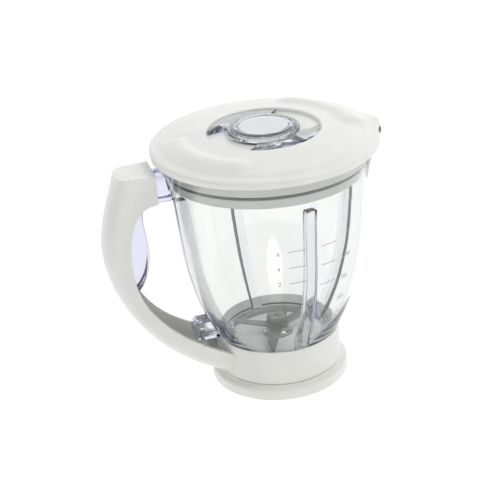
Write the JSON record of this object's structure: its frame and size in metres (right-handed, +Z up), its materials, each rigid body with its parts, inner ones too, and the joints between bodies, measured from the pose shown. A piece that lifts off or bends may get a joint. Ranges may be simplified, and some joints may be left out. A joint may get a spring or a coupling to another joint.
{
  "type": "countertop blender jug",
  "caption": "Clear tulip-shaped blender jug with handle, pouring spout, lid with filler cap, screw-in base ring and a spinning four-arm blade.",
  "frame": {"origin": "on the jug's axis, in the plane of the base ring's underside, where the jug stands", "axes": "+Z up along the jug's axis, -X towards the handle, +X towards the spout, +Y completes a right-handed frame"},
  "size_m": [0.2242, 0.174, 0.2092],
  "materials": {
    "white_plastic": "moulded white plastic, satin gloss",
    "clear_plastic": "clear moulded SAN, polished",
    "carrier_plastic": "light grey moulded plastic",
    "steel": "ground stainless steel",
    "seal_rubber": "moulded silicone rubber",
    "coupler_rubber": "moulded black coupling rubber",
    "bronze": "sintered bronze"
  },
  "bodies": {
    "base": {"base_ring": "white_plastic", "blade_carrier": "carrier_plastic", "carrier_screws": "steel", "base_seal": "seal_rubber", "bearing_housing": "steel", "housing_gasket": "seal_rubber", "housing_nut": "steel", "bearing_upper": "bronze", "bearing_lower": "bronze", "shaft_seal": "seal_rubber"},
    "rotor": {"drive_shaft": "steel", "thrust_washer": "steel", "drive_coupler": "coupler_rubber", "coupler_pin": "steel", "blade_washer": "steel", "blade_lower": "steel", "blade_upper": "steel", "blade_nut": "steel"},
    "goblet": {"goblet": "clear_plastic", "goblet_rim": "clear_plastic", "goblet_ribs": "clear_plastic", "handle_core": "clear_plastic", "handle_shell": "white_plastic", "handle_screw": "steel"},
    "lid": {"lid": "white_plastic", "lid_seal": "seal_rubber"},
    "cap_seal": {"filler_cap_seal": "seal_rubber"},
    "filler_cap": {"filler_cap": "clear_plastic"}
  },
  "joints": [
    {"name": "blade_spin", "type": "hinge", "parent": "base", "child": "rotor", "pos_m": [0, 0, 0.02], "axis": [0, 0, 1], "continuous": true},
    {"name": "goblet_turn", "type": "hinge", "parent": "base", "child": "goblet", "pos_m": [0, 0, 0.02], "axis": [0, 0, 1], "range_deg": [0, 30]},
    {"name": "lid_lift", "type": "slide", "parent": "goblet", "child": "lid", "axis": [0, 0, 1], "range_m": [0, 0.06]},
    {"name": "cap_lift", "type": "slide", "parent": "lid", "child": "cap_seal", "axis": [0, 0, 1], "range_m": [0, 0.04]},
    {"name": "cap_turn", "type": "hinge", "parent": "cap_seal", "child": "filler_cap", "pos_m": [0, 0, 0.2], "axis": [0, 0, 1], "range_deg": [0, 70]}
  ]
}
